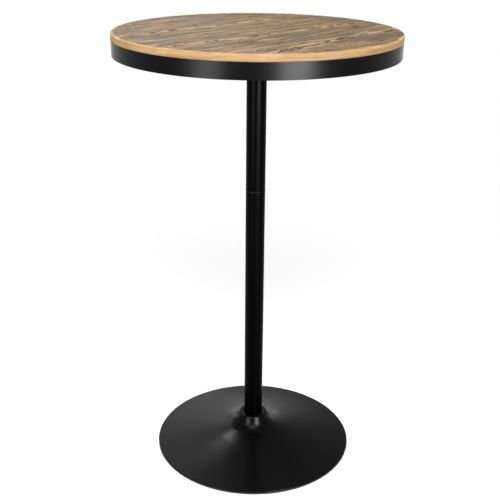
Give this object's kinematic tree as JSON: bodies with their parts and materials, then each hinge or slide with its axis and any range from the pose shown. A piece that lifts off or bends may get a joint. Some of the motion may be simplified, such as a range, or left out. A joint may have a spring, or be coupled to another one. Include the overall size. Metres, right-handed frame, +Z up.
{
  "type": "bar table",
  "caption": "Tall round bar table: banded wooden top on a slim two-piece steel pole with a flared trumpet foot.",
  "frame": {"origin": "on the floor, on the pole's axis, at the centre of the round foot", "axes": "+Z up along the pole; -Y towards the picture's camera, +X to its right; the boards' grain runs at 45 degrees between +X and +Y"},
  "size_m": [0.64, 0.6399, 1.048],
  "materials": {
    "top_wood": "weathered boards, brown-grey with dark cracks and worn light streaks, thin clear matt coat",
    "band_steel": "satin black powder coat",
    "pole_steel": "satin black powder coat",
    "foot_steel": "satin black powder coat",
    "frame_steel": "satin black powder coat",
    "turned_steel": "turned, lightly oiled",
    "zinc_steel": "bright zinc plate",
    "bush_plastic": "matt black nylon",
    "guard_rubber": "matt black rubber",
    "ballast_iron": "sand cast, black primer"
  },
  "bodies": {
    "root": {"top_board_1": "top_wood", "top_board_2": "top_wood", "top_board_3": "top_wood", "top_board_4": "top_wood", "rim_band": "band_steel", "band_tabs": "band_steel", "cross_tube_long": "frame_steel", "cross_tube_front": "frame_steel", "cross_tube_back": "frame_steel", "hub_plate": "frame_steel", "column_plate": "frame_steel", "upper_tube": "pole_steel", "lower_tube": "pole_steel", "lower_joint_plug": "pole_steel", "upper_joint_plug": "turned_steel", "foot_plug": "turned_steel", "joint_stud": "turned_steel", "frame_screws": "zinc_steel", "tab_screws": "zinc_steel", "weld_nuts": "zinc_steel", "column_washers": "zinc_steel", "column_spring_washers": "zinc_steel", "column_bolts": "zinc_steel", "ballast_studs": "zinc_steel", "ballast_washers": "zinc_steel", "ballast_nuts": "zinc_steel", "centre_washer": "zinc_steel", "centre_spring_washer": "zinc_steel", "centre_bolt": "zinc_steel", "base_shell": "foot_steel", "neck_bush": "bush_plastic", "edge_guard": "guard_rubber", "ballast_plate": "ballast_iron"}
  },
  "joints": []
}
